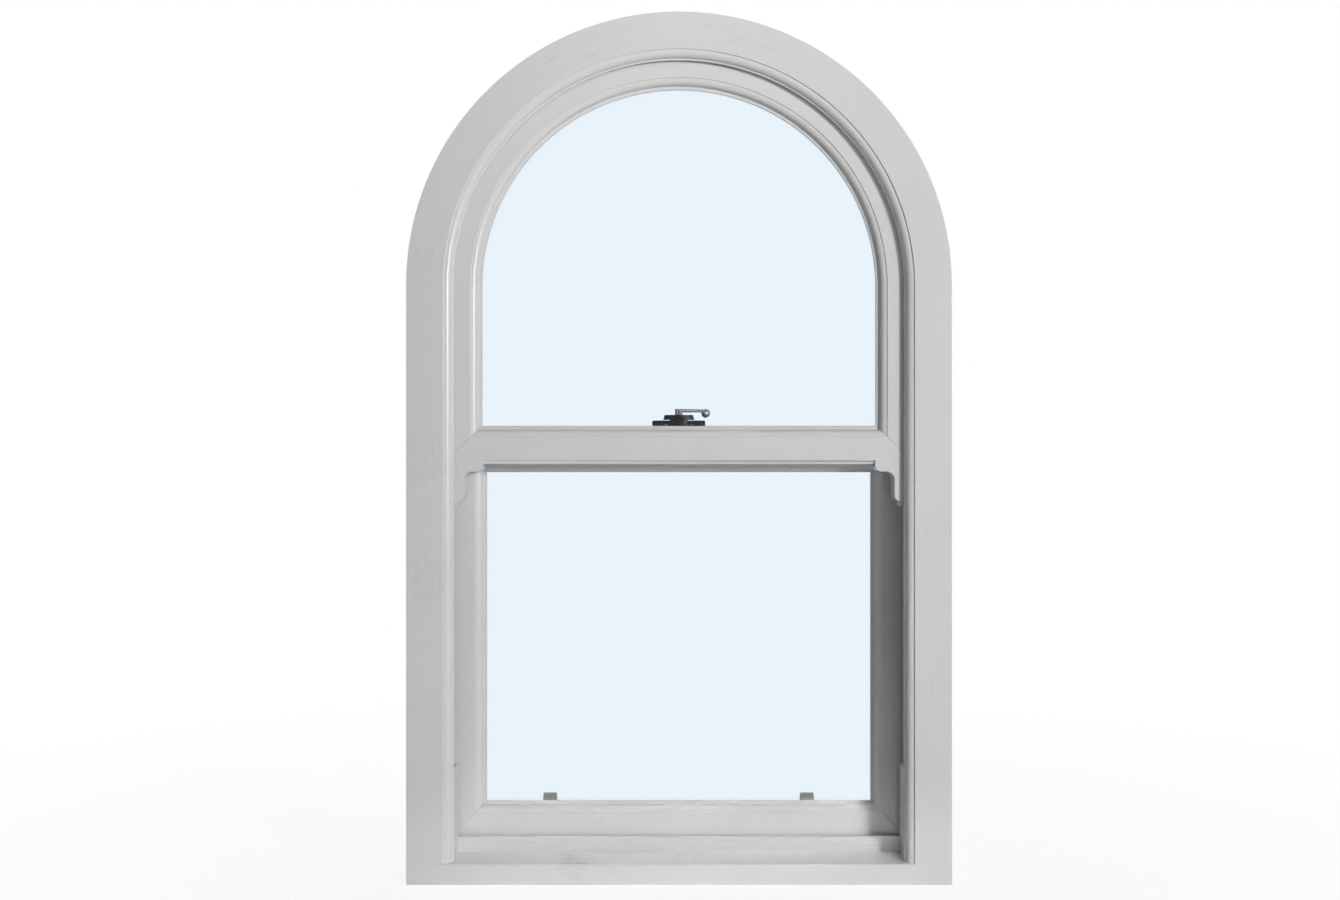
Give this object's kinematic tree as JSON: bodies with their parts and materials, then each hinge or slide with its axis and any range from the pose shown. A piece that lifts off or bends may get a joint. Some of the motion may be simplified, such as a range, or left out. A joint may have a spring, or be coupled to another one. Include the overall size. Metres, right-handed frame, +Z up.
{
  "type": "sliding sash window",
  "caption": "Vertical sliding sash window with a half-round head: white plastic frame, two double-glazed sashes with ogee horns, a turning catch and finger lifts.",
  "frame": {"origin": "middle of the frame's underside, half way through its depth", "axes": "+Z up along the height, +Y into the room, +X to the right seen from outside"},
  "size_m": [0.75, 0.135, 1.2],
  "materials": {
    "white_plastic": "smooth white extruded plastic with a low sheen and welded mitres",
    "white_trim": "white plastic filler, cut edges",
    "glass": "clear float glass, faint blue",
    "spacer": "mill-finish spacer bar",
    "tube_steel": "white enamelled steel tube",
    "satin_chrome": "satin chrome plate",
    "dark_plate": "black nickel plate on die-cast zinc"
  },
  "bodies": {
    "frame": {"frame_sill": "white_plastic", "frame_jamb_left": "white_plastic", "frame_jamb_right": "white_plastic", "frame_head": "white_plastic", "parting_bead_left": "white_plastic", "parting_bead_right": "white_plastic", "parting_bead_head": "white_plastic", "staff_bead_left": "white_plastic", "staff_bead_right": "white_plastic", "staff_bead_head": "white_plastic", "staff_bead_bottom": "white_plastic", "stop_block_left": "white_trim", "stop_block_right": "white_trim", "upper_balance_tubes": "tube_steel", "lower_balance_tubes": "tube_steel"},
    "upper_sash": {"upper_sash_head": "white_plastic", "upper_stile_left": "white_plastic", "upper_stile_right": "white_plastic", "upper_meeting_rail": "white_plastic", "sash_horn_left": "white_plastic", "sash_horn_right": "white_plastic", "upper_glazing_bead_left": "white_plastic", "upper_glazing_bead_right": "white_plastic", "upper_glazing_bead_bottom": "white_plastic", "upper_glazing_bead_head": "white_plastic", "upper_outer_pane": "glass", "upper_inner_pane": "glass", "upper_spacer": "spacer", "catch_keeper": "dark_plate"},
    "lower_sash": {"lower_top_rail": "white_plastic", "lower_bottom_rail": "white_plastic", "lower_stile_left": "white_plastic", "lower_stile_right": "white_plastic", "lower_glazing_bead_left": "white_plastic", "lower_glazing_bead_right": "white_plastic", "lower_glazing_bead_bottom": "white_plastic", "lower_glazing_bead_top": "white_plastic", "lower_outer_pane": "glass", "lower_inner_pane": "glass", "lower_spacer": "spacer", "finger_lift_left": "satin_chrome", "finger_lift_right": "satin_chrome", "catch_base": "dark_plate"},
    "catch_lever": {"catch_hook": "dark_plate", "catch_lever": "satin_chrome"}
  },
  "joints": [
    {"name": "upper_sash_slide", "type": "slide", "parent": "frame", "child": "upper_sash", "axis": [0, 0, 1], "range_m": [-0.354, 0]},
    {"name": "lower_sash_slide", "type": "slide", "parent": "frame", "child": "lower_sash", "axis": [0, 0, 1], "range_m": [0, 0.195]},
    {"name": "catch_swing", "type": "hinge", "parent": "lower_sash", "child": "catch_lever", "pos_m": [0, 0.0255, 0.645], "axis": [0, 0, 1], "range_deg": [0, 180]}
  ]
}
